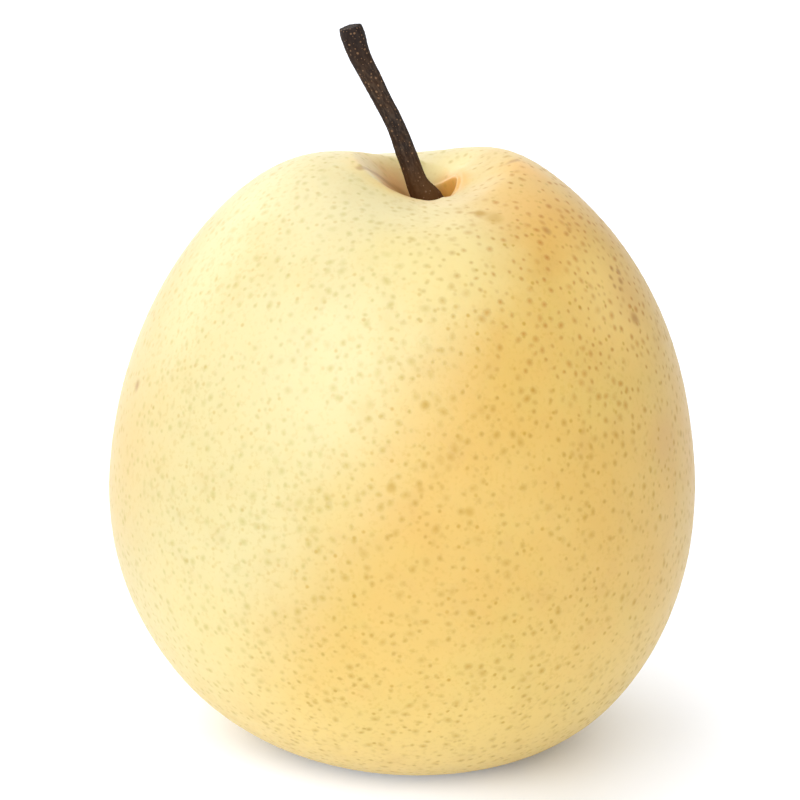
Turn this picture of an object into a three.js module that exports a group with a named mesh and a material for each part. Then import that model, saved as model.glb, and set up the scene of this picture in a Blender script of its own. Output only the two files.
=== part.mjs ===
// A nashi pear of the smooth yellow, pear-shaped kind, standing on its base, in millimetres, +Z up.
// Two pieces: the fruit, grown as one solid, and the woody stem that stands in the hollow on its top.
// The origin is on the surface the fruit stands on, under the middle of the fruit's outline.
// +X is the side away from which the stem leans, -Y is the front.

import * as THREE from "three";

// ---------- driving dimensions ----------

// the fruit's outline, as heights above the surface and radii from its core line
const WIDEST_RADIUS = 40;
const WIDEST_HEIGHT = 35;
const SHOULDER_HEIGHT = 80.8;
const RIM_RADIUS = 8.7;

// how full the outline is: the reach of each curve's handles
const SHOULDER_FLATNESS = 22.9;
const FLANK_FULLNESS = 16.7;
const BELLY_FULLNESS = 20;
const BASE_FLATNESS = 11;

// the hollow that holds the stem, and the hole the stem's foot grows from
const HOLLOW_DEPTH = 6.4;
const HOLLOW_STEEPNESS = 0.7;
const HOLLOW_FLARE = 1.5;
const HOLLOW_ROUND = 1.4;
const SOCKET_RADIUS = 2.6;
const SOCKET_DEPTH = 2;
const HOLLOW_SHIFT = 4;

// the underside: a flat ring that the fruit stands on, and a basin inside it
const REST_OUTER_RADIUS = 14.2;
const REST_INNER_RADIUS = 10.4;
const BASIN_FLOOR_REACH = 4.8;
const BASIN_LIP_REACH = 8.4;
// the scar of the fallen flower in the basin's middle, as radius and height: a pit inside a low ring
const SCAR = [
  [0, 5.5],
  [1.05, 5.3],
  [1.8, 4.1],
  [2.55, 4.1],
  [3, 4.6],
];

// the core line bows sideways: straight lean, bow in the middle, and a curl at the ends
const CORE_LEAN = 0.42;
const CORE_BOW = -1.28;
const CORE_CURL = -1.33;

// swells of the shoulder: how many crests round the hollow, how high, how far out, and where one faces
const SHOULDER_SWELLS = [
  { crests: 1, height: 0.8, radius: 8.3, faces: 132 },
  { crests: 2, height: 2.35, radius: 13.8, faces: 12 },
  { crests: 2, height: 0.9, radius: 26, faces: 102 },
];
const SWELL_FROM_HEIGHT = 45;
const SWELL_FULL_HEIGHT = 70;

// five faint ribs, one to each seed chamber, strongest at the two ends of the fruit
const RIB_COUNT = 5;
const RIB_HEIGHT = 0.22;
const RIB_FACES = 54;

// shallow flats and dents, by the direction they face, height, depth and spread
const DENT_FACING = 0.5;
const DENTS = [
  { faces: -30, height: 66, depth: 0.5, spread: 5.5 },
  { faces: 148, height: 52, depth: 0.6, spread: 9 },
  { faces: 205, height: 22, depth: 0.5, spread: 8 },
  { faces: 62, height: 18, depth: 0.45, spread: 7 },
];

// the stem, along its middle line: sideways and backwards place, and height
const STEM_LINE = [
  [4, 0, 72.4],
  [4, 0, 73.6],
  [3.9, 0, 75],
  [3.3, 0, 76.4],
  [2.15, 0.1, 78.2],
  [1.6, 0.3, 79.8],
  [0.3, 0.5, 83.2],
  [-0.95, 0.7, 86.4],
  [-2.55, 0.9, 89.6],
  [-4.15, 1.1, 92.85],
  [-5.75, 1.3, 96.05],
  [-6.85, 1.4, 99.6],
];
// the stem's radius along its length, from the foot at 0 to the cut end at 1
const STEM_RADII = [
  [0, 2.15],
  [0.08, 2.3],
  [0.13, 2.2],
  [0.18, 1.72],
  [0.24, 1.42],
  [0.36, 1.24],
  [0.5, 1.12],
  [0.66, 1.1],
  [0.8, 1.14],
  [0.9, 1.24],
  [0.965, 1.4],
  [0.992, 1.36],
  [1, 1.2],
];
const STEM_RIDGES = 5;
const STEM_RIDGE_HEIGHT = 0.07;
const STEM_RIDGE_TURNS = 0.35;
const STEM_RIDGES_FROM = 0.1;
const STEM_RIDGES_FULL = 0.25;

// how finely the surfaces are divided
const FRUIT_SIDES = 84;
const STEM_SIDES = 20;
const STEM_RINGS = 26;
const CURVE_STEPS = { basin: 6, belly: 12, flank: 18, hollow: 10 };

// ---------- materials ----------

const skin = new THREE.MeshStandardMaterial({ color: 0xf0d78c, roughness: 0.5, metalness: 0 });
const bark = new THREE.MeshStandardMaterial({ color: 0x453629, roughness: 0.8, metalness: 0 });

// ---------- helpers ----------

const radians = THREE.MathUtils.degToRad;
const ramp = THREE.MathUtils.smoothstep;
const lerp = THREE.MathUtils.lerp;

// a cubic curve in the (radius, height) plane, with its first point left off
function arc(from, handleFrom, handleTo, to, steps) {
  const ends = [from, handleFrom, handleTo, to].map(([r, z]) => new THREE.Vector2(r, z));
  return new THREE.CubicBezierCurve(...ends).getPoints(steps).slice(1);
}

// ---------- the fruit ----------

// half of the fruit's section, from the middle of the basin, round the outside, to the socket's floor
function fruitSection() {
  const scarEdge = SCAR.at(-1);
  const hollowFloor = SHOULDER_HEIGHT - HOLLOW_DEPTH;
  const socketFloor = hollowFloor - SOCKET_DEPTH;
  const restMiddle = (REST_INNER_RADIUS + REST_OUTER_RADIUS) / 2;
  const point = (r, z) => new THREE.Vector2(r, z);
  return [
    ...SCAR.map(([r, z]) => point(r, z)),
    ...arc(
      scarEdge,
      [BASIN_FLOOR_REACH, scarEdge[1]],
      [BASIN_LIP_REACH, 0],
      [REST_INNER_RADIUS, 0],
      CURVE_STEPS.basin,
    ),
    point(restMiddle, 0),
    point(REST_OUTER_RADIUS, 0),
    ...arc(
      [REST_OUTER_RADIUS, 0],
      [REST_OUTER_RADIUS + BASE_FLATNESS, 0],
      [WIDEST_RADIUS, WIDEST_HEIGHT - BELLY_FULLNESS],
      [WIDEST_RADIUS, WIDEST_HEIGHT],
      CURVE_STEPS.belly,
    ),
    ...arc(
      [WIDEST_RADIUS, WIDEST_HEIGHT],
      [WIDEST_RADIUS, WIDEST_HEIGHT + FLANK_FULLNESS],
      [RIM_RADIUS + SHOULDER_FLATNESS, SHOULDER_HEIGHT],
      [RIM_RADIUS, SHOULDER_HEIGHT],
      CURVE_STEPS.flank,
    ),
    ...arc(
      [RIM_RADIUS, SHOULDER_HEIGHT],
      [RIM_RADIUS - HOLLOW_ROUND, SHOULDER_HEIGHT],
      [SOCKET_RADIUS + HOLLOW_FLARE, SHOULDER_HEIGHT - HOLLOW_DEPTH * HOLLOW_STEEPNESS],
      [SOCKET_RADIUS, hollowFloor],
      CURVE_STEPS.hollow,
    ),
    point(SOCKET_RADIUS, socketFloor),
    point(0, socketFloor),
  ];
}

// how far the core line stands off sideways at a height, taken from the widest ring
function coreOffset(z) {
  const bow = (height) => {
    const h = (2 * height) / SHOULDER_HEIGHT - 1;
    return CORE_LEAN * h + CORE_BOW * (1 - h * h) + CORE_CURL * h ** 3;
  };
  return bow(z) - bow(WIDEST_HEIGHT);
}

// the lift of the shoulder at a radius, height and direction
function shoulderLift(r, z, direction) {
  let lift = 0;
  for (const { crests, height, radius, faces } of SHOULDER_SWELLS) {
    const ring = (r / radius) ** 2;
    lift += height * ring * Math.exp(1 - ring) * Math.cos(crests * (direction - radians(faces)));
  }
  return lift * ramp(z, SWELL_FROM_HEIGHT, SWELL_FULL_HEIGHT);
}

// how far ribs and dents push the skin out or in, along the radius
function skinPush(r, z, direction) {
  const ends = Math.abs(z - WIDEST_HEIGHT) / (SHOULDER_HEIGHT - WIDEST_HEIGHT);
  const outside = ramp(r, REST_OUTER_RADIUS, 2 * REST_OUTER_RADIUS);
  let push = RIB_HEIGHT * ends * outside * Math.cos(RIB_COUNT * (direction - radians(RIB_FACES)));
  for (const { faces, height, depth, spread } of DENTS) {
    const across = r * Math.sin(direction - radians(faces));
    const facing = ramp(Math.cos(direction - radians(faces)), 0, DENT_FACING);
    const distance = Math.hypot(across, z - height) / spread;
    push -= depth * facing * Math.exp(-distance * distance);
  }
  return push;
}

// turns the section into the fruit, then bows, swells and dents it
function fruitGeometry() {
  const geometry = new THREE.LatheGeometry(fruitSection(), FRUIT_SIDES).rotateX(Math.PI / 2);
  const place = geometry.attributes.position;
  for (let i = 0; i < place.count; i += 1) {
    const x = place.getX(i);
    const y = place.getY(i);
    const z = place.getZ(i);
    const r = Math.hypot(x, y);
    const direction = Math.atan2(y, x);
    const atHollow = Math.exp(-((r / RIM_RADIUS) ** 2)) * ramp(z, SWELL_FROM_HEIGHT, SWELL_FULL_HEIGHT);
    const inSocket = z > SWELL_FULL_HEIGHT && r < SOCKET_RADIUS + HOLLOW_FLARE / CURVE_STEPS.hollow;
    const shift = inSocket ? HOLLOW_SHIFT : lerp(coreOffset(z), HOLLOW_SHIFT, atHollow);
    const grown = r > REST_OUTER_RADIUS ? 1 + skinPush(r, z, direction) / r : 1;
    const lift = inSocket ? 0 : shoulderLift(r, z, direction);
    place.setXYZ(i, x * grown + shift, y * grown, z + lift);
  }
  return geometry;
}

// ---------- the stem ----------

// a round bar with faint twisted ridges, bent along the stem's middle line
function stemGeometry() {
  const line = new THREE.CatmullRomCurve3(STEM_LINE.map((p) => new THREE.Vector3(...p)));
  const radiusAt = (t) => {
    const next = Math.max(1, STEM_RADII.findIndex(([end]) => end >= t));
    const [t0, r0] = STEM_RADII[next - 1];
    const [t1, r1] = STEM_RADII[next];
    return lerp(r0, r1, (t - t0) / (t1 - t0));
  };
  const section = [new THREE.Vector2(0, 0)];
  for (let ring = 0; ring <= STEM_RINGS; ring += 1) {
    const t = ring / STEM_RINGS;
    section.push(new THREE.Vector2(radiusAt(t), t));
  }
  section.push(new THREE.Vector2(0, 1));
  const geometry = new THREE.LatheGeometry(section, STEM_SIDES);
  const place = geometry.attributes.position;
  const back = new THREE.Vector3(0, 1, 0);
  for (let i = 0; i < place.count; i += 1) {
    const t = THREE.MathUtils.clamp(place.getY(i), 0, 1);
    const turn = Math.atan2(place.getZ(i), place.getX(i));
    const above = ramp(t, STEM_RIDGES_FROM, STEM_RIDGES_FULL);
    const ridge = Math.cos(STEM_RIDGES * (turn - 2 * Math.PI * STEM_RIDGE_TURNS * t));
    const r = Math.hypot(place.getX(i), place.getZ(i)) * (1 + above * STEM_RIDGE_HEIGHT * ridge);
    const along = line.getTangentAt(t);
    const right = new THREE.Vector3().crossVectors(back, along).normalize();
    const behind = new THREE.Vector3().crossVectors(right, along);
    const at = line.getPointAt(t);
    at.addScaledVector(right, r * Math.cos(turn)).addScaledVector(behind, r * Math.sin(turn));
    place.setXYZ(i, at.x, at.y, at.z);
  }
  return geometry;
}

// ---------- assembly ----------

function piece(name, geometry, material) {
  const mesh = new THREE.Mesh(geometry, material);
  mesh.name = name;
  return mesh;
}

const pear = new THREE.Group();
pear.name = "nashi_pear";
pear.add(piece("fruit", fruitGeometry(), skin));
pear.add(piece("stem", stemGeometry(), bark));

export default pear;
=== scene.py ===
"""A yellow nashi pear on a white table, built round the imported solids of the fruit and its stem."""

import bmesh
import bpy
import math
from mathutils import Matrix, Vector


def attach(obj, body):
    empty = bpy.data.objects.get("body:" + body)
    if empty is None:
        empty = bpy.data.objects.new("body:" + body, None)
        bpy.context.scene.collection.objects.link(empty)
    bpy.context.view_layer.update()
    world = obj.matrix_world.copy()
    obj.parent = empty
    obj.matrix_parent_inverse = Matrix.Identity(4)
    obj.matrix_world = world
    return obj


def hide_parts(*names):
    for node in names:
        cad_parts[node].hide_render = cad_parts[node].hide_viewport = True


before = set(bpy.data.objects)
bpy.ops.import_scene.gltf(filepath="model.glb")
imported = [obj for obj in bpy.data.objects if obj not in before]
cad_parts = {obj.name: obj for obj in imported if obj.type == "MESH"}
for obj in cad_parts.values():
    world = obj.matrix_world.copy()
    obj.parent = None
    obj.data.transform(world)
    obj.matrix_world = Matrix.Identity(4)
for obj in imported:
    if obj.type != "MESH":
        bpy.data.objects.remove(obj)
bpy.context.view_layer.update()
scene = bpy.context.scene


# ---------------------------------------------------------------- camera, table and light
# A long lens a little above the pear looks slightly down on it. The table is white and runs far
# back. It glows faintly all over, and more in a painted pool of light in front of the pear that
# lifts the shade under its belly. Wide soft boxes stand in front and behind, smaller ones on the
# left and overhead, and the room is white.

LENS_DISTANCE = 0.7
LENS_HEIGHT_ANGLE = math.radians(18)
LENS_AIM = Vector((-0.00026, 0, 0.04798))
PICTURE_WIDTH = 0.1084
FILM_WIDTH = 36
ROOM_LIGHT = 0.65
SOFT_BOXES = {
    "front box": {"towards": (0, -0.92, 0.36), "distance": 1.5, "size": 1.7, "watts": 18.6},
    "left front box": {"towards": (-0.45, -0.6, 0.66), "distance": 1.0, "size": 0.6, "watts": 2.4},
    "left back box": {"towards": (-0.7, 0.6, 0.4), "distance": 1.0, "size": 0.7, "watts": 4.7},
    "back box": {"towards": (0, 0.9, 0.5), "distance": 1.4, "size": 1.4, "watts": 7.5},
    "overhead box": {"towards": (-0.3, 0, 1), "distance": 1.1, "size": 0.8, "watts": 2.0}}
TABLE_HALF = 2.0
PAPER_ROUGHNESS = 0.9
TABLE_WHITE = (0.91, 0.935, 0.985, 1)
TABLE_GLOW = (0.5, 0.65, 1, 1)
TABLE_GLOW_STRENGTH = 0.06
# a painted pool of light: the table glows more in front of the pear, lifting the shade under it
PAINTED_LIGHT_POOL_STRENGTH = 0.33
PAINTED_LIGHT_POOL_MIDDLE = (-0.009, -0.029, 0)
PAINTED_LIGHT_POOL_REACH = (0.008, 0.036)

lens = bpy.data.cameras.new("lens")
lens.sensor_width = FILM_WIDTH
lens.lens = FILM_WIDTH * LENS_DISTANCE / PICTURE_WIDTH
lens.clip_start = 0.05
camera = bpy.data.objects.new("camera", lens)
to_lens = Vector((0, -math.cos(LENS_HEIGHT_ANGLE), math.sin(LENS_HEIGHT_ANGLE)))
camera.location = LENS_AIM + LENS_DISTANCE * to_lens
camera.rotation_euler = to_lens.to_track_quat("Z", "Y").to_euler()
scene.collection.objects.link(camera)
scene.camera = camera
scene.view_settings.view_transform = "Standard"


def add(tree, kind, feeds=None, **settings):
    """Adds a node with its settings, and feeds its sockets from values or from other sockets."""
    node = tree.nodes.new(kind)
    for name, value in settings.items():
        setattr(node, name, value)
    for socket, value in (feeds or {}).items():
        if isinstance(value, bpy.types.NodeSocket):
            tree.links.new(value, node.inputs[socket])
        else:
            node.inputs[socket].default_value = value
    return node


room = bpy.data.worlds.new("white room")
room.use_nodes = True
room.node_tree.nodes["Background"].inputs["Color"].default_value = (1, 1, 1, 1)
room.node_tree.nodes["Background"].inputs["Strength"].default_value = ROOM_LIGHT
scene.world = room

for box_name, box in SOFT_BOXES.items():
    light = bpy.data.lights.new(box_name, "AREA")
    light.shape = "SQUARE"
    light.size = box["size"]
    light.energy = box["watts"]
    soft_box = bpy.data.objects.new(box_name, light)
    towards_box = Vector(box["towards"]).normalized()
    soft_box.location = LENS_AIM + box["distance"] * towards_box
    soft_box.rotation_euler = towards_box.to_track_quat("Z", "Y").to_euler()
    scene.collection.objects.link(soft_box)

table_mesh = bpy.data.meshes.new("table")
table_corners = [(x * TABLE_HALF, y * TABLE_HALF, 0) for x, y in ((-1, -1), (1, -1), (1, 1), (-1, 1))]
table_mesh.from_pydata(table_corners, [], [(0, 1, 2, 3)])
table = bpy.data.objects.new("table", table_mesh)
scene.collection.objects.link(table)
paper = bpy.data.materials.new("white paper")
paper.use_nodes = True
paper_tree = paper.node_tree
paper_surface = paper_tree.nodes["Principled BSDF"]
paper_surface.inputs["Base Color"].default_value = TABLE_WHITE
paper_surface.inputs["Roughness"].default_value = PAPER_ROUGHNESS
paper_surface.inputs["Emission Color"].default_value = TABLE_GLOW
# the table glows faintly all over, and more in a painted pool of light in front of the pear
on_table = add(paper_tree, "ShaderNodeTexCoord").outputs["Object"]
from_front = add(paper_tree, "ShaderNodeVectorMath", {0: on_table, 1: PAINTED_LIGHT_POOL_MIDDLE},
                 operation="DISTANCE").outputs["Value"]
glow_and_painted_light_pool = add(paper_tree, "ShaderNodeMapRange", {
    0: from_front, 1: PAINTED_LIGHT_POOL_REACH[0], 2: PAINTED_LIGHT_POOL_REACH[1],
    3: PAINTED_LIGHT_POOL_STRENGTH, 4: TABLE_GLOW_STRENGTH}, interpolation_type="SMOOTHSTEP").outputs[0]
paper_tree.links.new(glow_and_painted_light_pool, paper_surface.inputs["Emission Strength"])
table_mesh.materials.append(paper)


# ---------------------------------------------------------------- the fruit
# The whole pear, one body of flesh in a thin waxy skin. The skin is smooth with a slow unevenness,
# is creased where it runs into the hollow round the stem, and stands on the ring round its basin.

MM = 0.001
HOLLOW_MIDDLE = Vector((4.0, 0, 75.0)) * MM
SOCKET_RADIUS = 2.6 * MM
SOCKET_TOP = 74.4 * MM
SOCKET_SEARCH_FROM = 70 * MM
SOCKET_PLUG = {"rim": (1.7 * MM, 74.9 * MM), "middle": 75.0 * MM}
TOP_FROM = 60 * MM
BASIN_BELOW = 10 * MM
STANDING_HEIGHT = 2.5 * MM
SWELL = {"Swell height": 0.2 * MM, "Swell length": 17 * MM}
RIPPLE = {"Ripple height": 0.035 * MM, "Ripple length": 3.2 * MM}
HOLLOW_FOLDS = {"Hollow folds": 3.0, "Hollow fold height": 0.2 * MM, "Hollow fold reach": 15 * MM}
OPEN_SIDE = {"Narrow side": (1, -0.09, 0), "Drawn in by": 2.1 * MM, "Drawn in from": 2.6 * MM,
             "Drawn in most at": 5.9 * MM, "Drawn in to": 12 * MM, "Sloping side": (0.97, 0.26, 0),
             "Sunk by": 2.2 * MM, "Sunk from": 12 * MM, "Sunk most at": 4.4 * MM,
             "Front lip": (-0.35, -0.94, 0), "Front lip share": 0.36}
NARROW_FADE = (-0.7, -0.1)
SLOPING_FADE = (-0.55, 0.9)
FRONT_LIP_FADE = (0.4, 1.0)
BASIN_FOLDS = {"Basin folds": 2.2, "Basin fold height": 0.35 * MM, "Basin fold reach": 10 * MM}
FINE_LEVELS = 2
FRUIT_SEED = 4.0


def srgb(red, green, blue):
    """A colour for a node's socket from the 0 to 255 values a painter would read off a chart."""
    def linear(value):
        share = value / 255
        return share / 12.92 if share <= 0.04045 else ((share + 0.055) / 1.055) ** 2.4
    return (linear(red), linear(green), linear(blue), 1)


def maths(tree, operation, *values):
    """One sum on numbers, such as ADD or MULTIPLY."""
    return add(tree, "ShaderNodeMath", dict(enumerate(values)), operation=operation).outputs[0]


def vector_maths(tree, operation, *values):
    """One sum on vectors. Its result is a vector, or a number for LENGTH, DISTANCE and DOT_PRODUCT."""
    node = add(tree, "ShaderNodeVectorMath", dict(enumerate(values)), operation=operation)
    numbers = ("LENGTH", "DISTANCE", "DOT_PRODUCT")
    return node.outputs["Value" if operation in numbers else "Vector"]


def scaled(tree, vector, factor):
    """A vector made longer or shorter."""
    return add(tree, "ShaderNodeVectorMath", {0: vector, "Scale": factor}, operation="SCALE").outputs[0]


def product(tree, *values):
    """Two or more numbers multiplied together, from the first to the last."""
    result = values[0]
    for value in values[1:]:
        result = maths(tree, "MULTIPLY", result, value)
    return result


def height_of(tree, place):
    """How high a place lies."""
    return add(tree, "ShaderNodeSeparateXYZ", {0: place}).outputs["Z"]


def moved(tree, solid, offset, **feeds):
    """A mesh with its points pushed by an offset."""
    return add(tree, "GeometryNodeSetPosition", {"Geometry": solid, "Offset": offset, **feeds}).outputs[0]


def eased(tree, value, start, end, low=0.0, high=1.0):
    """Goes smoothly from low to high while the value goes from start to end."""
    feeds = {0: value, 1: start, 2: end, 3: low, 4: high}
    return add(tree, "ShaderNodeMapRange", feeds, interpolation_type="SMOOTHSTEP").outputs[0]


def clouds(tree, place, scale, detail=2.0, roughness=0.5, seed=0.0):
    """Soft random clouds between about 0.2 and 0.8."""
    feeds = {"Vector": place, "W": seed, "Scale": scale, "Detail": detail, "Roughness": roughness}
    return add(tree, "ShaderNodeTexNoise", feeds, noise_dimensions="4D").outputs[0]


def joined_copy(node_name, piece_name):
    """A new piece with a solid's surface, its loose triangles joined back into a grid of quads."""
    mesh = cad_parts[node_name].data.copy()
    mesh.materials.clear()
    surface = bmesh.new()
    surface.from_mesh(mesh)
    bmesh.ops.remove_doubles(surface, verts=surface.verts, dist=0.001 * MM)
    bmesh.ops.join_triangles(surface, faces=surface.faces, angle_face_threshold=math.pi,
                             angle_shape_threshold=math.pi)
    surface.to_mesh(mesh)
    surface.free()
    piece = bpy.data.objects.new(piece_name, mesh)
    scene.collection.objects.link(piece)
    return piece


def new_tree(name, inputs):
    """An empty tree of geometry nodes with named inputs. Returns it, its inputs and its output."""
    tree = bpy.data.node_groups.new(name, "GeometryNodeTree")
    tree.interface.new_socket("Geometry", in_out="INPUT", socket_type="NodeSocketGeometry")
    tree.interface.new_socket("Geometry", in_out="OUTPUT", socket_type="NodeSocketGeometry")
    for label, kind in inputs.items():
        tree.interface.new_socket(label, in_out="INPUT", socket_type=f"NodeSocket{kind}")
    return tree, tree.nodes.new("NodeGroupInput").outputs, tree.nodes.new("NodeGroupOutput").inputs


def grow(piece, tree, values):
    """Runs a tree on a piece with the given inputs, and leaves what it makes as the piece's mesh."""
    step = piece.modifiers.new(tree.name, "NODES")
    step.node_group = tree
    for item in tree.interface.items_tree:
        if item.in_out == "INPUT" and item.name in values:
            step[item.identifier] = values[item.name]
    graph = bpy.context.evaluated_depsgraph_get()
    made = bpy.data.meshes.new_from_object(piece.evaluated_get(graph), preserve_all_data_layers=True,
                                           depsgraph=graph)
    piece.modifiers.remove(step)
    kept = [material for material in made.materials if material]
    made.materials.clear()
    for material in kept:
        made.materials.append(material)
    piece.data = made
    made.name = piece.name


def folds_round(tree, place, middle, folds, height, reach, seed):
    """Soft folds that run out from a middle like the folds of a drawn bag, and fade at their reach."""
    flat = vector_maths(tree, "MULTIPLY", vector_maths(tree, "SUBTRACT", place, middle), (1, 1, 0))
    radius = vector_maths(tree, "LENGTH", flat)
    around = scaled(tree, vector_maths(tree, "NORMALIZE", flat), folds)
    outward = add(tree, "ShaderNodeCombineXYZ", {"Z": maths(tree, "DIVIDE", radius, reach)}).outputs[0]
    cloud = clouds(tree, vector_maths(tree, "ADD", around, outward), 1.0, detail=2.0, seed=seed)
    rising = eased(tree, radius, product(tree, reach, 0.2), product(tree, reach, 0.38))
    fading = eased(tree, radius, product(tree, reach, 0.4), reach, 1.0, 0.0)
    depth = product(tree, maths(tree, "SUBTRACT", cloud, 0.56), height)
    return product(tree, depth, product(tree, rising, fading))


def open_side(tree, solid, place, given):
    """Draws the hollow's wall in round the stem on its open side, and lets its rim slope down to it."""
    from_middle = vector_maths(tree, "SUBTRACT", place, given["Hollow middle"])
    flat = vector_maths(tree, "MULTIPLY", from_middle, (1, 1, 0))
    radius = vector_maths(tree, "LENGTH", flat)
    outward = vector_maths(tree, "NORMALIZE", flat)
    on_top = maths(tree, "GREATER_THAN", height_of(tree, place), TOP_FROM)

    def towards(side, fade):
        return eased(tree, vector_maths(tree, "DOT_PRODUCT", outward, given[side]), *fade)

    steeper = eased(tree, radius, given["Drawn in from"], given["Drawn in most at"])
    gentler = eased(tree, radius, given["Drawn in most at"], given["Drawn in to"], 1.0, 0.0)
    narrow = towards("Narrow side", NARROW_FADE)
    inward = product(tree, steeper, gentler, given["Drawn in by"], narrow, -1.0)
    solid = moved(tree, solid, scaled(tree, outward, inward), Selection=on_top)

    front = product(tree, towards("Front lip", FRONT_LIP_FADE), given["Front lip share"])
    sloping = maths(tree, "MAXIMUM", towards("Sloping side", SLOPING_FADE), front)
    sinking = eased(tree, radius, given["Sunk from"], given["Sunk most at"])
    wall = eased(tree, radius, given["Drawn in from"], product(tree, given["Sunk most at"], 0.9))
    down = product(tree, sinking, wall, given["Sunk by"], sloping, -1.0)
    sunk = add(tree, "ShaderNodeCombineXYZ", {"Z": down}).outputs[0]
    return moved(tree, solid, sunk, Selection=on_top)


def finish_tree(tree, solid, material, made):
    """Smooths what a tree has made, gives it its material and hands it out."""
    smooth = add(tree, "GeometryNodeSetShadeSmooth", {"Geometry": solid}).outputs[0]
    finished = add(tree, "GeometryNodeSetMaterial", {"Geometry": smooth, "Material": material}).outputs[0]
    tree.links.new(finished, made["Geometry"])


def fruit_skin_tree():
    """Rounds the solid's grid, and gives the skin its swells, its ripples and the folds at both ends."""
    tree, given, made = new_tree("uneven skin", {
        "Levels": "Int", "Swell height": "Float", "Swell length": "Float",
        "Ripple height": "Float", "Ripple length": "Float",
        "Hollow middle": "Vector", "Hollow folds": "Float", "Hollow fold height": "Float",
        "Hollow fold reach": "Float", "Narrow side": "Vector", "Drawn in by": "Float",
        "Drawn in from": "Float", "Drawn in most at": "Float", "Drawn in to": "Float",
        "Sloping side": "Vector", "Sunk by": "Float", "Sunk from": "Float", "Sunk most at": "Float",
        "Front lip": "Vector", "Front lip share": "Float",
        "Basin folds": "Float", "Basin fold height": "Float",
        "Basin fold reach": "Float", "Standing height": "Float", "Seed": "Float", "Skin": "Material"})
    round_skin = add(tree, "GeometryNodeSubdivisionSurface",
                     {"Mesh": given["Geometry"], "Level": given["Levels"]}).outputs[0]
    place = add(tree, "GeometryNodeInputPosition").outputs[0]
    height = height_of(tree, place)

    lift = None
    for kind in ("Swell", "Ripple"):
        scale = maths(tree, "DIVIDE", 1.0, given[f"{kind} length"])
        cloud = clouds(tree, place, scale, detail=1.0, seed=given["Seed"])
        bumps = product(tree, maths(tree, "SUBTRACT", cloud, 0.62), given[f"{kind} height"])
        lift = maths(tree, "ADD", lift, bumps) if lift else bumps
    for kind, middle, is_there in (
            ("Hollow", given["Hollow middle"], maths(tree, "GREATER_THAN", height, TOP_FROM)),
            ("Basin", (0, 0, 0), maths(tree, "LESS_THAN", height, BASIN_BELOW))):
        folds = folds_round(tree, place, middle, given[f"{kind} folds"], given[f"{kind} fold height"],
                            given[f"{kind} fold reach"], given["Seed"])
        lift = maths(tree, "ADD", lift, product(tree, folds, is_there))
    lift = product(tree, lift, eased(tree, height, 0.0, given["Standing height"]))

    opened = open_side(tree, round_skin, place, given)
    normal = add(tree, "GeometryNodeInputNormal").outputs[0]
    finish_tree(tree, moved(tree, opened, scaled(tree, normal, lift)), given["Skin"], made)
    return tree


SKIN_YELLOW = srgb(202, 168, 90)
SKIN_GOLD = srgb(199, 157, 72)
# the pale cream is partly the skin's own paler side and partly a painted sheen of the light from the
# upper left
SKIN_PALE_AND_SHEEN = srgb(205, 193, 141)
SKIN_CREAM = srgb(214, 203, 158)
SKIN_LEMON = srgb(219, 201, 138)
SKIN_LIGHT = srgb(222, 190, 112)
SKIN_GREEN = srgb(196, 174, 92)
# lighter yellow low down: partly the skin's own colour at the base, partly painted light from the table
# below
LOW_YELLOW_AND_FLOOR_LIGHT = srgb(218, 190, 110)
SKIN_BLUSH = srgb(190, 148, 84)
SKIN_ORANGE = srgb(220, 164, 70)
DOT_OCHRE = srgb(174, 136, 38)
RUSSET = srgb(154, 106, 34)
HOLLOW_TAN = srgb(192, 136, 72)
# the pocket's own orange, made lighter as painted light against the shade it lies in
HOLLOW_ORANGE_AND_LIGHT = srgb(222, 157, 62)
SCAR_BROWN = srgb(96, 66, 42)
SCAR_TAN = srgb(134, 98, 58)
# paler towards the upper left: partly the skin's own paler side, partly a painted sheen of the light from
# there
PALE_AND_SHEEN_SIDE = Vector((-0.88, 0, 0.47))
PALE_AND_SHEEN_FROM = 18 * MM
PALE_AND_SHEEN_FULL = 37 * MM
LOW_YELLOW_AND_FLOOR_LIGHT_FROM = 39 * MM
LOW_YELLOW_AND_FLOOR_LIGHT_FULL = 6 * MM
PALE_AND_SHEEN_WAVER = 9 * MM
BACK_FULL = 25 * MM
BACK_WANDER = 60 * MM
RIPE_SIDE = (0.95, 0.3, 0)
SCAR_RADIUS = 2.9 * MM
BASIN_RUSSET_REACH = 9 * MM
SMOOTH_MARKS_FROM = 3
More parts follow.
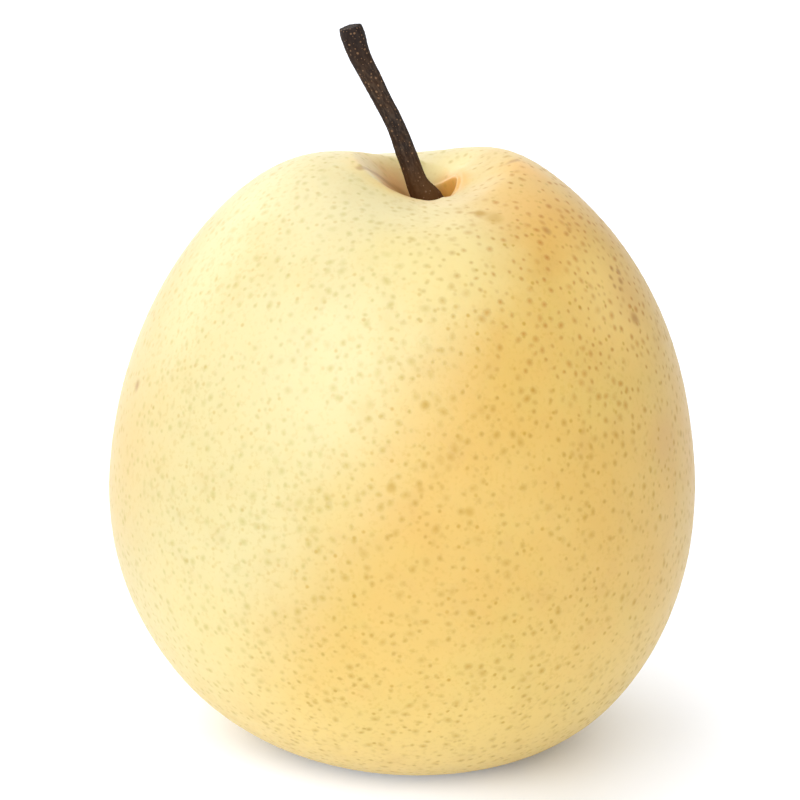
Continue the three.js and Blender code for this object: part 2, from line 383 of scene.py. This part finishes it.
# each mark: its middle and its reach in millimetres, its colour and its strength
MARKS = {
    "yellow left side": ((-38, -6, 44), 26, SKIN_YELLOW, 0.68),
    "yellow left shoulder": ((-30, -4, 68), 16, SKIN_YELLOW, 0.45),
    "yellow lower left": ((-27, -24, 22), 20, SKIN_LEMON, 0.5),
    "gold right side": ((38, -8, 42), 14, SKIN_GOLD, 0.35),
    "ripe shoulder": ((18, -11, 77), 14, SKIN_ORANGE, 0.38),
    "ripe lip": ((16, -1, 79.5), 5, SKIN_ORANGE, 0.6),
    # painted light: a lighter patch where the front shoulder's own shape shades it
    "painted light on the front shoulder": ((5, -22, 73), 15, SKIN_LEMON, 0.75),
    # these two cream patches are partly the skin's own pale tone and partly a painted sheen of the light
    # from the upper left
    "pale left shoulder and sheen": ((-9.5, -14, 80), 13, SKIN_CREAM, 0.6),
    "palest flank and sheen": ((-14, -29, 64), 19, SKIN_CREAM, 0.5),
    # painted light: lightens the hollow's back wall, which lies in shade
    "painted light on the hollow's back wall": ((6, 5, 79), 7, SKIN_LEMON, 0.7),
    "pale flank": ((27, -15, 67), 13, SKIN_LIGHT, 0.7),
    "blush on the right": ((30, -11, 66), 7, SKIN_BLUSH, 0.4),
    "blush at the widest": ((34.8, -17, 47.9), 6, SKIN_BLUSH, 0.45),
    "ochre smear": ((12.1, -14.8, 77.9), 2.2, DOT_OCHRE, 0.6),
    "ochre patch": ((9.0, 0.5, 77), 2.8, RUSSET, 0.5),
    "old scrape": ((-35.3, -11, 53.6), 1.3, RUSSET, 0.7),
    "dark spot": ((10.2, -13.7, 78.2), 1.2, DOT_OCHRE, 0.95),
    "ochre spot": ((19, -14, 75.9), 1.1, RUSSET, 0.6),
    "red spot": ((30.8, -12.9, 63.6), 1.3, RUSSET, 0.7),
    "large dot 1": ((2.9, -35.5, 58.8), 1.0, DOT_OCHRE, 0.6),
    "large dot 2": ((-1.4, -38.5, 48.6), 0.9, DOT_OCHRE, 0.6),
    "large dot 3": ((2.4, -38.5, 48.3), 0.9, DOT_OCHRE, 0.6),
    "large dot 4": ((8.7, -38.1, 45.2), 1.0, DOT_OCHRE, 0.65),
    "speck 1": ((27.8, -10.5, 69.8), 0.8, RUSSET, 0.75),
    "speck 2": ((28.8, -9.4, 69.0), 0.7, RUSSET, 0.7),
    "speck 3": ((27.6, -12.1, 69.0), 0.7, RUSSET, 0.75),
    "speck 4": ((29.0, -10.6, 68.0), 0.8, RUSSET, 0.8),
    "speck 5": ((28.1, -12.6, 67.9), 0.7, RUSSET, 0.7),
    "speck 6": ((28.9, -11.9, 67.3), 0.7, RUSSET, 0.75)}

# each crease: its start, its end and half its width in millimetres
CREASES = (
    ((9.8, -2.2, 81), (12.7, -1.2, 81.6), 0.5), ((12.7, -1.2, 81.6), (15.5, 1.3, 81.5), 0.7),
    ((-5.6, -5, 82), (-3.1, -0.6, 79.7), 0.8), ((-3.1, -0.6, 79.7), (-1, 1.6, 77.4), 0.9),
    ((-1, 1.6, 77.4), (0.1, 2.1, 76.4), 1.1))


def mixed(tree, share, first, second):
    """One colour going over into another by a share from 0 to 1."""
    return add(tree, "ShaderNodeMix", {0: share, 6: first, 7: second}, data_type="RGBA").outputs[2]


def skin_group():
    """The skin's colour, roughness and height wherever it is asked, shared by the skin and its spots."""
    tree = bpy.data.node_groups.new("skin of the pear", "ShaderNodeTree")
    tree.interface.new_socket("Colour", in_out="OUTPUT", socket_type="NodeSocketColor")
    for label in ("Roughness", "Height", "Paleness and sheen"):
        tree.interface.new_socket(label, in_out="OUTPUT", socket_type="NodeSocketFloat")
    made = tree.nodes.new("NodeGroupOutput").inputs
    place = add(tree, "ShaderNodeTexCoord").outputs["Object"]
    height = height_of(tree, place)
    towards_back = add(tree, "ShaderNodeSeparateXYZ", {0: place}).outputs["Y"]

    def share_of(value, start, end, strength):
        return product(tree, eased(tree, value, start, end), strength)

    def fading(value, start, end, strength):
        return product(tree, eased(tree, value, start, end, 1.0, 0.0), strength)

    patches = clouds(tree, place, 62, detail=3, seed=1.0)
    blotches = clouds(tree, place, 230, detail=3, seed=2.0)
    grain = clouds(tree, place, 1500, detail=2, seed=3.0)
    greens = clouds(tree, place, 95, detail=2, seed=4.0)
    wander = maths(tree, "SUBTRACT", clouds(tree, place, 34, detail=2, seed=12.0), 0.5)
    wander = product(tree, wander, eased(tree, towards_back, 0.0, BACK_FULL), BACK_WANDER)
    waver = product(tree, maths(tree, "SUBTRACT", patches, 0.5), PALE_AND_SHEEN_WAVER)
    pale_and_sheen_side = vector_maths(tree, "DOT_PRODUCT", place, tuple(PALE_AND_SHEEN_SIDE))
    pale_and_sheen_side = maths(tree, "ADD", maths(tree, "ADD", pale_and_sheen_side, waver), wander)

    # the ground colours: yellow and gold, paler to the upper left, partly the skin's own paler side
    # and partly painted sheen of the light from there, and a lighter yellow at the base, partly its own
    # colour and partly painted light from the white table below
    colour = mixed(tree, share_of(patches, 0.35, 0.65, 0.5), SKIN_YELLOW, SKIN_GOLD)
    pale = share_of(pale_and_sheen_side, PALE_AND_SHEEN_FROM, PALE_AND_SHEEN_FULL, 0.9)
    tree.links.new(pale, made["Paleness and sheen"])
    colour = mixed(tree, pale, colour, SKIN_PALE_AND_SHEEN)
    # lighter yellow low down: partly the skin's own colour, partly painted light bounced up from the
    # white table
    low = eased(tree, height, LOW_YELLOW_AND_FLOOR_LIGHT_FROM, LOW_YELLOW_AND_FLOOR_LIGHT_FULL, 0.0, 0.8)
    colour = mixed(tree, low, colour, LOW_YELLOW_AND_FLOOR_LIGHT)
    # greens, blotches and fine dots are calmed where the paler skin and its painted sheen lie
    calmer = maths(tree, "SUBTRACT", 1.0, product(tree, pale, 0.55))
    for cloud, end, strength, tint in (
            (greens, 0.68, 0.22, SKIN_GREEN), (blotches, 0.75, 0.2, SKIN_BLUSH)):
        colour = mixed(tree, product(tree, share_of(cloud, 0.5, end, strength), calmer), colour, tint)
    colour = mixed(tree, share_of(grain, 0.5, 0.7, 0.2), colour, DOT_OCHRE)

    # the marks, each with a ragged edge
    wobble = product(tree, maths(tree, "SUBTRACT", blotches, 0.5), 1.6)
    for spot, reach, mark, strength in MARKS.values():
        far = vector_maths(tree, "DISTANCE", place, tuple(Vector(spot) * MM))
        ragged = product(tree, wobble, 0.3 if reach > SMOOTH_MARKS_FROM else 1.0)
        near = maths(tree, "ADD", maths(tree, "DIVIDE", far, reach * MM), ragged)
        colour = mixed(tree, fading(near, 0.1, 1.0, strength), colour, mark)

    # the hollow: tan on its left, darker russet close round the stem's foot, and orange on its right,
    # that orange lightened as painted light where the pocket lies in shade; the creases are grooved
    # and darkened with russet as painted shade
    from_axis = vector_maths(tree, "SUBTRACT", place, tuple(HOLLOW_MIDDLE))
    from_hollow = vector_maths(tree, "LENGTH", vector_maths(tree, "MULTIPLY", from_axis, (1, 1, 0.15)))
    ripe = vector_maths(tree, "DOT_PRODUCT", vector_maths(tree, "NORMALIZE", from_axis), RIPE_SIDE)
    left = eased(tree, ripe, 0.0, -0.7)
    on_top = eased(tree, height, TOP_FROM, TOP_FROM + 2 * MM)
    for reach, tint, strength in ((14 * MM, SKIN_LIGHT, product(tree, left, 0.7)),
                                  (10.5 * MM, HOLLOW_TAN, product(tree, left, 0.9)),
                                  (5 * MM, RUSSET, 0.4)):
        near = maths(tree, "ADD", maths(tree, "DIVIDE", from_hollow, reach), product(tree, wobble, 0.4))
        colour = mixed(tree, product(tree, fading(near, 0.5, 1.0, strength), on_top), colour, tint)
    # orange pocket right of the stem: its own orange, lightened as painted light against the shade there
    ripe = product(tree, eased(tree, ripe, 0.1, 0.8), eased(tree, from_hollow, 6.0 * MM, 3.2 * MM), 0.85)
    colour = mixed(tree, ripe, colour, HOLLOW_ORANGE_AND_LIGHT)
    # painted shade: the creases are darkened with russet along their lines, as well as grooved in the
    # height
    crease_and_painted_shade = None
    for start, end, width in CREASES:
        start, end, width = Vector(start) * MM, Vector(end) * MM, width * MM
        from_start = vector_maths(tree, "SUBTRACT", place, tuple(start))
        span = end - start
        share = vector_maths(tree, "DOT_PRODUCT", from_start, tuple(span / span.length_squared))
        on_line = scaled(tree, tuple(span), add(tree, "ShaderNodeClamp", {0: share}).outputs[0])
        off = maths(tree, "DIVIDE", vector_maths(tree, "DISTANCE", from_start, on_line), width)
        line = eased(tree, maths(tree, "ADD", off, product(tree, wobble, 0.3)), 0.2, 1.0, 1.0, 0.0)
        crease_and_painted_shade = maths(tree, "MAXIMUM", crease_and_painted_shade, line) if crease_and_painted_shade else line
    colour = mixed(tree, product(tree, crease_and_painted_shade, 0.6), colour, RUSSET)

    # the basin, russet round the corky scar of the flower
    from_scar = vector_maths(tree, "LENGTH", vector_maths(tree, "MULTIPLY", place, (1, 1, 0.3)))
    in_basin = maths(tree, "ADD", maths(tree, "DIVIDE", from_scar, BASIN_RUSSET_REACH), wobble)
    colour = mixed(tree, fading(in_basin, 0.15, 1.0, 0.6), colour, RUSSET)
    scar = eased(tree, from_scar, SCAR_RADIUS, SCAR_RADIUS + 1.2 * MM, 1.0, 0.0)
    scar_cracks = eased(tree, clouds(tree, place, 1300, detail=3, seed=5.0), 0.35, 0.7)
    colour = mixed(tree, scar, colour, mixed(tree, scar_cracks, SCAR_BROWN, SCAR_TAN))

    # the smallest dots, in the skin itself
    cells = add(tree, "ShaderNodeTexVoronoi", {"Vector": place, "Scale": 820.0})
    cell_share = add(tree, "ShaderNodeSeparateColor", {0: cells.outputs["Color"]}).outputs[0]
    dots = eased(tree, cells.outputs["Distance"], 0.08, 0.34, 1.0, 0.0)
    dots = product(tree, dots, product(tree, maths(tree, "POWER", cell_share, 2.0), 0.85), calmer)
    tree.links.new(mixed(tree, dots, colour, DOT_OCHRE), made["Colour"])

    rough = maths(tree, "ADD", 0.38, product(tree, blotches, 0.14))
    tree.links.new(maths(tree, "ADD", rough, product(tree, scar, 0.35)), made["Roughness"])
    relief = maths(tree, "ADD", product(tree, grain, 0.3), blotches)
    relief = maths(tree, "ADD", relief, product(tree, dots, 0.4))
    tree.links.new(maths(tree, "SUBTRACT", relief, product(tree, crease_and_painted_shade, 1.5)), made["Height"])
    return tree


def skin_material(name, cork=None):
    """Waxy skin with a little light in its flesh. Spots go over from skin at their edge into cork."""
    material = bpy.data.materials.new(name)
    material.use_nodes = True
    tree = material.node_tree
    surface = tree.nodes["Principled BSDF"]
    grown = add(tree, "ShaderNodeGroup", node_tree=SKIN).outputs
    colour = grown["Colour"]
    rough = grown["Roughness"]
    if cork:
        corky = add(tree, "ShaderNodeAttribute", attribute_name="corky").outputs["Fac"]
        # spots are fainter and more olive where the paler skin and its painted sheen lie
        faint = maths(tree, "SUBTRACT", 1.0, product(tree, grown["Paleness and sheen"], 0.5))
        place = add(tree, "ShaderNodeTexCoord").outputs["Object"]
        from_ripe = vector_maths(tree, "DISTANCE", place, cork["ripe middle"])
        ripe = eased(tree, from_ripe, *cork["ripe reach"], 0.8, 0.0)
        shade = mixed(tree, grown["Paleness and sheen"], cork["plain"], cork["pale"])
        shade = mixed(tree, ripe, shade, cork["ripe"])
        colour = mixed(tree, product(tree, corky, faint), colour, shade)
        rough = maths(tree, "ADD", rough, product(tree, corky, 0.25))
    bump = add(tree, "ShaderNodeBump",
               {"Strength": 0.25, "Distance": 0.05 * MM, "Height": grown["Height"]})
    tree.links.new(colour, surface.inputs["Base Color"])
    tree.links.new(rough, surface.inputs["Roughness"])
    tree.links.new(bump.outputs[0], surface.inputs["Normal"])
    surface.inputs["Specular IOR Level"].default_value = 0.4
    surface.inputs["Coat Weight"].default_value = 0.15
    surface.inputs["Coat Roughness"].default_value = 0.38
    surface.inputs["Subsurface Weight"].default_value = 0.15
    surface.inputs["Subsurface Radius"].default_value = (1.0, 0.55, 0.2)
    surface.inputs["Subsurface Scale"].default_value = 2.0 * MM
    return material


def close_socket(piece):
    """Draws the empty socket shut round the stem's foot, as the flesh grows round it."""
    rim_radius, rim_height = SOCKET_PLUG["rim"]
    for vertex in piece.data.vertices:
        out = vertex.co - HOLLOW_MIDDLE
        out.z = 0
        in_socket = SOCKET_SEARCH_FROM < vertex.co.z < SOCKET_TOP - 0.1 * MM
        if in_socket and out.length < SOCKET_RADIUS + 0.01 * MM:
            at_rim = out.length > SOCKET_RADIUS / 2
            vertex.co = HOLLOW_MIDDLE + (out.normalized() * rim_radius if at_rim else Vector())
            vertex.co.z = rim_height if at_rim else SOCKET_PLUG["middle"]


SKIN = skin_group()
fruit = joined_copy("fruit", "pear_fruit")
close_socket(fruit)
grow(fruit, fruit_skin_tree(), {
    **SWELL, **RIPPLE, **HOLLOW_FOLDS, **OPEN_SIDE, **BASIN_FOLDS, "Levels": FINE_LEVELS,
    "Hollow middle": tuple(HOLLOW_MIDDLE), "Standing height": STANDING_HEIGHT, "Seed": FRUIT_SEED,
    "Skin": skin_material("pear skin")})
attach(fruit, "root")
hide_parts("fruit")


# ---------------------------------------------------------------- the breathing spots
# Small corky dots in the skin through which the fruit breathes. They are scattered all over it,
# barely raised, no two alike, and fade at their edge into the skin.

CROWD_MIDDLE = (22 * MM, -12 * MM, 74 * MM)
CORK = {"plain": srgb(166, 127, 30), "pale": srgb(152, 140, 36), "ripe": srgb(172, 104, 30),
        "ripe middle": CROWD_MIDDLE, "ripe reach": (8 * MM, 34 * MM)}
SPOTS = {
    "Per square metre": 1400000.0, "Least distance": 1.15 * MM, "Least radius": 0.38 * MM,
    "Most radius": 0.72 * MM, "Rise": 0.02 * MM, "Stretch": 1.7, "Stretch middle": tuple(HOLLOW_MIDDLE),
    "Stretch reach": 17 * MM, "Crowd middle": CROWD_MIDDLE, "Crowd reach": 44 * MM,
    "Lowest": 1.6 * MM, "Cells across": 80.0, "Seed": 11}


def spot_tree():
    """Scatters low round caps over a surface, each with its own size, turn and depth of colour."""
    tree, given, made = new_tree("scattered spots", {
        "Per square metre": "Float", "Least distance": "Float", "Least radius": "Float",
        "Most radius": "Float", "Rise": "Float", "Stretch": "Float", "Stretch middle": "Vector",
        "Stretch reach": "Float", "Crowd middle": "Vector", "Crowd reach": "Float",
        "Lowest": "Float", "Cells across": "Float", "Seed": "Int", "Spot": "Material"})

    def far_from(middle):
        return vector_maths(tree, "DISTANCE", place, given[middle])

    def store(geometry, name, value, **settings):
        feeds = {"Geometry": geometry, "Name": name, "Value": value}
        return add(tree, "GeometryNodeStoreNamedAttribute", feeds, **settings).outputs[0]

    def stored(name, kind="FLOAT"):
        node = add(tree, "GeometryNodeInputNamedAttribute", {"Name": name}, data_type=kind)
        return node.outputs["Attribute"]

    def chance(low, high, seed):
        feeds = {2: low, 3: high, "Seed": maths(tree, "ADD", given["Seed"], seed)}
        return add(tree, "FunctionNodeRandomValue", feeds, data_type="FLOAT").outputs[1]

    # where the spots lie: thick on the ripe shoulder, thin elsewhere, none in the hollow or below
    place = add(tree, "GeometryNodeInputPosition").outputs[0]
    crowd = eased(tree, far_from("Crowd middle"), 0.0, given["Crowd reach"], 1.0, 0.72)
    uneven = eased(tree, clouds(tree, place, 150.0, detail=2.0, seed=7.0), 0.3, 0.6, 0.65, 1.0)
    outside = eased(tree, far_from("Stretch middle"), product(tree, given["Stretch reach"], 0.42),
                    product(tree, given["Stretch reach"], 0.5))
    high_enough = maths(tree, "GREATER_THAN", height_of(tree, place), given["Lowest"])
    uneven = product(tree, uneven, product(tree, outside, high_enough))
    points = add(tree, "GeometryNodeDistributePointsOnFaces", {
        "Mesh": given["Geometry"], "Distance Min": given["Least distance"],
        "Density Max": given["Per square metre"], "Density Factor": product(tree, crowd, uneven),
        "Seed": given["Seed"]}, distribute_method="POISSON")

    # one flat cap of eight sides, which remembers how far up its dome each point will be lifted
    cap = add(tree, "GeometryNodeMeshCone", {
        "Vertices": 8, "Side Segments": 1, "Fill Segments": 1, "Radius Top": 0.5, "Radius Bottom": 1.0,
        "Depth": 1.0}, fill_type="TRIANGLE_FAN")
    cap = add(tree, "GeometryNodeDeleteGeometry", {
        "Geometry": cap.outputs["Mesh"], "Selection": cap.outputs["Bottom"]}, domain="FACE").outputs[0]
    flat = vector_maths(tree, "MULTIPLY", place, (1, 1, 0))
    radius = vector_maths(tree, "LENGTH", flat)
    dome = maths(tree, "SUBTRACT", 0.9, product(tree, radius, radius))
    cap = add(tree, "GeometryNodeSetPosition", {"Geometry": cap, "Position": flat}).outputs[0]
    cap = store(cap, "corky", eased(tree, radius, 0.0, 1.0, 1.0, 0.0))
    cap = store(cap, "in cell", flat, data_type="FLOAT_VECTOR")
    cap = store(cap, "dome", dome)

    # near the hollow the caps are drawn out and point to it, elsewhere they lie any way
    near = eased(tree, far_from("Stretch middle"), product(tree, given["Stretch reach"], 0.35),
                 given["Stretch reach"], 1.0, 0.0)
    share = maths(tree, "POWER", chance(0.0, 1.0, 1), 1.6)
    size = eased(tree, share, 0.0, 1.0, given["Least radius"], given["Most radius"])
    drawn_out = product(tree, near, maths(tree, "SUBTRACT", given["Stretch"], 1.0))
    stretch = maths(tree, "ADD", chance(0.8, 1.45, 2), drawn_out)
    wide = product(tree, size, eased(tree, near, 0.0, 1.0, 1.0, 0.75))
    scale = add(tree, "ShaderNodeCombineXYZ",
                {"X": product(tree, wide, stretch), "Y": wide, "Z": 1.0}).outputs[0]
    outward = vector_maths(tree, "SUBTRACT", place, given["Stretch middle"])
    facing = add(tree, "FunctionNodeAlignRotationToVector",
                 {"Rotation": points.outputs["Rotation"], "Vector": outward},
                 axis="X", pivot_axis="Z").outputs[0]
    any_way = product(tree, chance(0.0, math.pi, 3), maths(tree, "SUBTRACT", 1.0, near))
    turn = add(tree, "ShaderNodeCombineXYZ", {"Z": any_way}).outputs[0]
    turned = add(tree, "FunctionNodeRotateRotation", {"Rotation": facing, "Rotate By": turn},
                 rotation_space="LOCAL").outputs[0]
    spots = add(tree, "GeometryNodeInstanceOnPoints", {
        "Points": points.outputs["Points"], "Instance": cap,
        "Rotation": turned, "Scale": scale}).outputs[0]
    crowded = eased(tree, far_from("Crowd middle"), product(tree, given["Crowd reach"], 0.3),
                    given["Crowd reach"], 1.0, 0.8)
    depth = product(tree, chance(0.35, 0.9, 4), crowded)
    spots = store(spots, "depth", depth, domain="INSTANCE")
    spots = store(spots, "cell", add(tree, "GeometryNodeInputIndex").outputs[0], domain="INSTANCE")
    loose = add(tree, "GeometryNodeRealizeInstances", {"Geometry": spots}).outputs[0]
    loose = store(loose, "corky", product(tree, stored("corky"), stored("depth")))

    # every cap is laid on the surface point by point, so that none hangs over a curve
    on_skin = add(tree, "GeometryNodeProximity", {"Geometry": given["Geometry"]}, target_element="FACES")
    upright = add(tree, "GeometryNodeSampleNearestSurface",
                  {"Mesh": given["Geometry"], "Value": add(tree, "GeometryNodeInputNormal").outputs[0]},
                  data_type="FLOAT_VECTOR").outputs["Value"]
    rise = scaled(tree, upright, product(tree, stored("dome"), given["Rise"]))
    lying = vector_maths(tree, "ADD", on_skin.outputs["Position"], rise)
    loose = add(tree, "GeometryNodeSetPosition", {"Geometry": loose, "Position": lying}).outputs[0]

    # each cap gets its own square on a flat map
    column = maths(tree, "FLOORED_MODULO", stored("cell"), given["Cells across"])
    row = maths(tree, "FLOOR", maths(tree, "DIVIDE", stored("cell"), given["Cells across"]))
    corner = add(tree, "ShaderNodeCombineXYZ", {"X": column, "Y": row}).outputs[0]
    in_cell = add(tree, "ShaderNodeVectorMath", {
        0: stored("in cell", "FLOAT_VECTOR"), 1: (0.42, 0.42, 0), 2: (0.5, 0.5, 0)},
        operation="MULTIPLY_ADD").outputs[0]
    across = vector_maths(tree, "ADD", corner, in_cell)
    cells = add(tree, "ShaderNodeCombineXYZ", {
        "X": given["Cells across"], "Y": given["Cells across"], "Z": 1.0}).outputs[0]
    flat_map = vector_maths(tree, "DIVIDE", across, cells)
    loose = store(loose, "OFBake", flat_map, data_type="FLOAT2", domain="CORNER")
    finish_tree(tree, loose, given["Spot"], made)
    return tree


SPOT_TREE = spot_tree()
spots = bpy.data.objects.new("breathing_spots", fruit.data.copy())
scene.collection.objects.link(spots)
grow(spots, SPOT_TREE, {**SPOTS, "Spot": skin_material("corky spots", CORK)})
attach(spots, "root")


# ---------------------------------------------------------------- the stem
# The woody stalk the pear hung by. It is dark dry bark with ridges running along it, thickest at
# the foot, where it grows out of the flesh, and at the end that was cut from the tree.

# the stem's middle line in millimetres, from its foot to its cut end
STEM_LINE = [Vector(point) * MM for point in (
    (4, 0, 72.4), (4, 0, 73.6), (3.9, 0, 75), (3.3, 0, 76.4), (2.15, 0.1, 78.2), (1.6, 0.3, 79.8),
    (0.3, 0.5, 83.2), (-0.95, 0.7, 86.4), (-2.55, 0.9, 89.6), (-4.15, 1.1, 92.85), (-5.75, 1.3, 96.05),
    (-6.85, 1.4, 99.6))]
STEM_THICKNESS = 1.3 * MM
STEM_GRAIN = {"Groove depth": 0.15 * MM, "Grooves": 1400.0, "Groove stretch": 0.2,
              "Grit depth": 0.09 * MM, "Grit": 1900.0, "Levels": 3}
STEM_SWELLS = {"Middle swell": 0.15 * MM, "Middle from": 7 * MM, "Middle full": 12 * MM,
               "End swell": 0.17 * MM, "End from": 17 * MM, "End full": 24 * MM}
BARK_DARK = srgb(38, 31, 28)
BARK_GREY = srgb(64, 53, 45)
BARK_BROWN = srgb(84, 54, 22)
BARK_FOOT = srgb(90, 52, 22)
BARK_TIP = srgb(33, 25, 23)


def unbend(piece):
    """Stores where each point would lie if the stem were drawn straight, for grain that follows it."""
    lengths = [0.0]
    for start, end in zip(STEM_LINE, STEM_LINE[1:]):
        lengths.append(lengths[-1] + (end - start).length)
    straight = piece.data.attributes.new("straight", "FLOAT_VECTOR", "POINT")
    for vertex in piece.data.vertices:
        best = None
        for index, (start, end) in enumerate(zip(STEM_LINE, STEM_LINE[1:])):
            span = end - start
            share = min(max((vertex.co - start).dot(span) / span.length_squared, 0), 1)
            nearest = start + share * span
            away = (vertex.co - nearest).length
            if best is None or away < best[0]:
                best = (away, vertex.co - nearest, lengths[index] + share * span.length)
        away, side, along = best
        around = Vector((side.x, side.y, 0)).normalized() * min(away, STEM_THICKNESS)
        straight.data[vertex.index].vector = (around.x, around.y, along)


def bark_tree():
    """Rounds the solid's grid, thickens the stem upwards and works grooves and fine grit into it."""
    tree, given, made = new_tree("bark", {
        "Levels": "Int", "Groove depth": "Float", "Grooves": "Float", "Groove stretch": "Float",
        "Grit depth": "Float", "Grit": "Float", "Middle swell": "Float", "Middle from": "Float",
        "Middle full": "Float", "End swell": "Float", "End from": "Float", "End full": "Float",
        "Bark": "Material"})
    corner = add(tree, "GeometryNodeInputMeshEdgeAngle").outputs["Unsigned Angle"]
    round_stem = add(tree, "GeometryNodeSubdivisionSurface", {
        "Mesh": given["Geometry"], "Level": given["Levels"],
        "Edge Crease": eased(tree, corner, 0.7, 1.0, 0.0, 0.8)}).outputs[0]
    straight = add(tree, "GeometryNodeInputNamedAttribute", {"Name": "straight"},
                   data_type="FLOAT_VECTOR").outputs["Attribute"]
    squeeze = add(tree, "ShaderNodeCombineXYZ",
                  {"X": 1.0, "Y": 1.0, "Z": given["Groove stretch"]}).outputs[0]
    long_way = vector_maths(tree, "MULTIPLY", straight, squeeze)
    groove = clouds(tree, long_way, given["Grooves"], detail=3.0, roughness=0.6, seed=2.0)
    grit = clouds(tree, straight, given["Grit"], detail=2.0, seed=3.0)
    depth = maths(tree, "ADD",
                  product(tree, maths(tree, "SUBTRACT", groove, 0.5), given["Groove depth"]),
                  product(tree, maths(tree, "SUBTRACT", grit, 0.5), given["Grit depth"]))
    normal = add(tree, "GeometryNodeInputNormal").outputs[0]
    along = height_of(tree, straight)
    thicker = None
    for part in ("Middle", "End"):
        reached = eased(tree, along, given[f"{part} from"], given[f"{part} full"])
        swell = product(tree, reached, given[f"{part} swell"])
        thicker = maths(tree, "ADD", thicker, swell) if thicker else swell
    wider = scaled(tree, vector_maths(tree, "MULTIPLY", normal, (1, 1, 0)), thicker)
    push = vector_maths(tree, "ADD", scaled(tree, normal, depth), wider)
    finish_tree(tree, moved(tree, round_stem, push), given["Bark"], made)
    return tree


def bark_material():
    """Dry bark: dark at the cut end, greyer along the middle, brown at the foot."""
    material = bpy.data.materials.new("stem bark")
    material.use_nodes = True
    tree = material.node_tree
    surface = tree.nodes["Principled BSDF"]
    straight = add(tree, "ShaderNodeAttribute", attribute_name="straight").outputs["Vector"]
    along = height_of(tree, straight)
    long_way = vector_maths(tree, "MULTIPLY", straight, (1, 1, 0.3))
    streaks = clouds(tree, long_way, 3200, detail=3, roughness=0.6, seed=6.0)
    patches = clouds(tree, straight, 520, detail=3, seed=7.0)
    grit = clouds(tree, straight, 5200, detail=2, seed=8.0)
    foot = eased(tree, along, 3.5 * MM, 13 * MM, 0.75, 0.0)
    flesh_side = eased(tree, along, 2.2 * MM, 5 * MM, 0.6, 0.0)
    tip = eased(tree, along, 21 * MM, 28 * MM, 0.0, 0.7)
    colour = mixed(tree, eased(tree, streaks, 0.4, 0.62), BARK_DARK, BARK_GREY)
    colour = mixed(tree, eased(tree, patches, 0.35, 0.7, 0.0, 0.25), colour, BARK_BROWN)
    colour = mixed(tree, foot, colour, BARK_BROWN)
    colour = mixed(tree, flesh_side, colour, BARK_FOOT)
    colour = mixed(tree, tip, colour, BARK_TIP)
    rough = maths(tree, "ADD", 0.6, product(tree, patches, 0.25))
    relief = maths(tree, "ADD", streaks, product(tree, grit, 0.6))
    bump = add(tree, "ShaderNodeBump", {"Strength": 0.6, "Distance": 0.08 * MM, "Height": relief})
    tree.links.new(colour, surface.inputs["Base Color"])
    tree.links.new(rough, surface.inputs["Roughness"])
    tree.links.new(bump.outputs[0], surface.inputs["Normal"])
    surface.inputs["Specular IOR Level"].default_value = 0.08
    return material


stem = joined_copy("stem", "pear_stem")
unbend(stem)
grow(stem, bark_tree(), {**STEM_GRAIN, **STEM_SWELLS, "Bark": bark_material()})
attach(stem, "root")
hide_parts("stem")


# ---------------------------------------------------------------- the specks on the stem
# Pale breathing pores in the stem's bark, each a tiny pad of cork that has grown in it. They are
# scattered over the bark as the spots are over the skin, but are smaller and sharper.

SPECK_COLOUR = srgb(152, 124, 98)
SPECKS = {
    "Per square metre": 3600000.0, "Least distance": 0.36 * MM, "Least radius": 0.06 * MM,
    "Most radius": 0.17 * MM, "Rise": 0.03 * MM, "Stretch": 1.0, "Stretch middle": tuple(STEM_LINE[0]),
    "Stretch reach": 0.5 * MM, "Crowd middle": tuple(STEM_LINE[-1]), "Crowd reach": 30 * MM,
    "Lowest": 0.0, "Cells across": 40.0, "Seed": 5}


def speck_material():
    """Cork that is pale in the middle of a pore and goes over into the bark at its edge."""
    material = bpy.data.materials.new("pale pores")
    material.use_nodes = True
    tree = material.node_tree
    surface = tree.nodes["Principled BSDF"]
    place = add(tree, "ShaderNodeTexCoord").outputs["Object"]
    uneven = clouds(tree, place, 3000, detail=2, seed=9.0)
    corky = add(tree, "ShaderNodeAttribute", attribute_name="corky").outputs["Fac"]
    colour = mixed(tree, corky, BARK_BROWN, mixed(tree, uneven, BARK_BROWN, SPECK_COLOUR))
    bump = add(tree, "ShaderNodeBump", {"Strength": 0.5, "Distance": 0.03 * MM, "Height": uneven})
    tree.links.new(colour, surface.inputs["Base Color"])
    tree.links.new(eased(tree, uneven, 0.0, 1.0, 0.6, 0.9), surface.inputs["Roughness"])
    tree.links.new(bump.outputs[0], surface.inputs["Normal"])
    return material


specks = bpy.data.objects.new("stem_pores", stem.data.copy())
scene.collection.objects.link(specks)
grow(specks, SPOT_TREE, {**SPECKS, "Spot": speck_material()})
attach(specks, "root")
